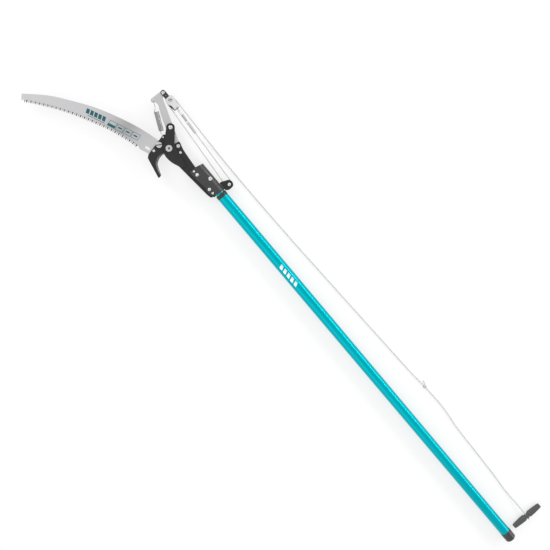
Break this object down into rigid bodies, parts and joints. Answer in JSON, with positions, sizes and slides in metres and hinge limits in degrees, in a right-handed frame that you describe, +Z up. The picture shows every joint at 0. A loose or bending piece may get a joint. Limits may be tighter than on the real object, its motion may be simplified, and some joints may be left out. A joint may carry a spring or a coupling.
{
  "type": "telescoping pole saw",
  "caption": "Telescoping pole saw lying flat: curved pruning saw and hooked bypass blade on a tube, worked by a spring-returned lever and rope tackle with a T-handle.",
  "frame": {"origin": "centre of the underside of the box round the tool as it lies flat on the ground, leaving out the pull rope", "axes": "+X along the pole from the head to the foot; +Y towards the pull rope; +Z up, square to the flat of the blades"},
  "size_m": [1.8206, 0.3588, 0.0381],
  "materials": {
    "teal_paint": "gloss",
    "black_steel": "satin black",
    "top_collar": "satin black",
    "dark_plastic": "matt",
    "nylon": "matt",
    "saw_steel": "satin",
    "lever_steel": "matt zinc plate",
    "bright_steel": "bright",
    "zinc": "zinc plate",
    "block_black": "satin black",
    "block_white": "gloss",
    "rope": "braided",
    "spring_steel": "drawn wire"
  },
  "bodies": {
    "pole": {"outer_tube": "teal_paint", "end_cap": "dark_plastic", "top_collar": "top_collar"},
    "lock": {"lock_collet": "nylon"},
    "head": {"inner_tube": "teal_paint", "lock_plug": "dark_plastic", "tube_bracket": "black_steel", "hook_plate": "black_steel", "saw_blade": "saw_steel", "saw_bolt": "bright_steel", "saw_nut": "zinc", "saw_rivet": "bright_steel", "pivot_bolt": "bright_steel", "pivot_nut": "zinc", "lever_rivet": "bright_steel", "plate_rivet": "bright_steel", "clamp_bolt_upper": "bright_steel", "clamp_bolt_lower": "bright_steel", "tube_bolt": "bright_steel", "leaf_rivet_upper": "bright_steel", "leaf_rivet_lower": "bright_steel", "sheave_ear": "black_steel", "lower_axle": "bright_steel"},
    "lever": {"lever_arm": "lever_steel", "clevis_pin": "bright_steel"},
    "blade": {"cutting_blade": "black_steel", "tail_rivet": "bright_steel"},
    "block": {"shackle": "block_black", "shackle_rivet": "bright_steel", "block_cheek_front": "block_white", "block_cheek_back": "block_white", "block_screw": "bright_steel", "becket_pin": "bright_steel", "rope_top_turn": "rope"},
    "top_sheave": {"top_sheave": "block_white"},
    "lower_sheave": {"lower_sheave": "block_white"},
    "spring": {"return_spring": "spring_steel"},
    "spring_hook": {"spring_hook": "spring_steel"},
    "tackle": {"tackle_rope": "rope", "rope_sleeve": "rope"},
    "haul": {"pull_rope": "rope"},
    "handle": {"pull_handle": "dark_plastic", "stop_knot": "rope"}
  },
  "joints": [
    {"name": "pole_extend", "type": "slide", "parent": "pole", "child": "lock", "axis": [-1, 0, 0], "range_m": [0, 1]},
    {"name": "pole_twist", "type": "hinge", "parent": "lock", "child": "head", "pos_m": [0.7615, 0.05223, 0.0156], "axis": [-1, 0, 0], "range_deg": [0, 90]},
    {"name": "lever_pull", "type": "hinge", "parent": "head", "child": "lever", "pos_m": [-0.5657, 0.04813, 0.0251], "axis": [0, 0, -1], "range_deg": [0, 80], "stiffness_Nm_per_rad": 1.5, "springref_deg": -14.32},
    {"name": "blade_cut", "type": "hinge", "parent": "head", "child": "blade", "pos_m": [-0.5761, 0.02593, 0.0317], "axis": [0, 0, -1], "range_deg": [0, 60]},
    {"name": "block_swivel", "type": "hinge", "parent": "lever", "child": "block", "pos_m": [-0.6906, 0.10583, 0.0266], "axis": [0, 0, 1], "range_deg": [0, 46.44]},
    {"name": "top_sheave_spin", "type": "hinge", "parent": "block", "child": "top_sheave", "pos_m": [-0.6662, 0.10783, 0.0266], "axis": [0, 0, 1], "continuous": true},
    {"name": "lower_sheave_spin", "type": "hinge", "parent": "head", "child": "lower_sheave", "pos_m": [-0.4065, 0.08523, 0.0165], "axis": [0, 0, 1], "continuous": true},
    {"name": "spring_swing", "type": "hinge", "parent": "head", "child": "spring", "pos_m": [-0.6073, 0.03273, 0.03], "axis": [0, 0, -1], "range_deg": [0, 81.3]},
    {"name": "spring_stretch", "type": "slide", "parent": "spring", "child": "spring_hook", "axis": [-0.8973, 0.4414, 0], "range_m": [0, 0.057], "deforming": ["return_spring", "spring_hook"]},
    {"name": "tackle_swing", "type": "hinge", "parent": "head", "child": "tackle", "pos_m": [-0.4065, 0.08523, 0.0165], "axis": [0, 0, -1], "range_deg": [0, 33.56], "deforming": ["tackle_rope", "rope_sleeve"]},
    {"name": "haul_hang", "type": "hinge", "parent": "block", "child": "haul", "pos_m": [-0.6662, 0.10783, 0.0266], "axis": [0, 0, 1], "range_deg": [0, 33.56], "deforming": ["pull_rope", "rope_top_turn"]},
    {"name": "handle_pull", "type": "slide", "parent": "haul", "child": "handle", "axis": [1, 0, 0], "range_m": [0, 0.256]}
  ],
  "couplings": [
    {"joint": "blade_cut", "follows": "lever_pull", "ratio": 0.75},
    {"joint": "block_swivel", "follows": "lever_pull", "ratio": 0.5805},
    {"joint": "spring_swing", "follows": "lever_pull", "ratio": 1.0163},
    {"joint": "spring_stretch", "follows": "lever_pull", "m_per_rad": 0.040823},
    {"joint": "tackle_swing", "follows": "lever_pull", "ratio": 0.4195},
    {"joint": "haul_hang", "follows": "lever_pull", "ratio": 0.4195},
    {"joint": "handle_pull", "follows": "lever_pull", "m_per_rad": 0.18335}
  ]
}
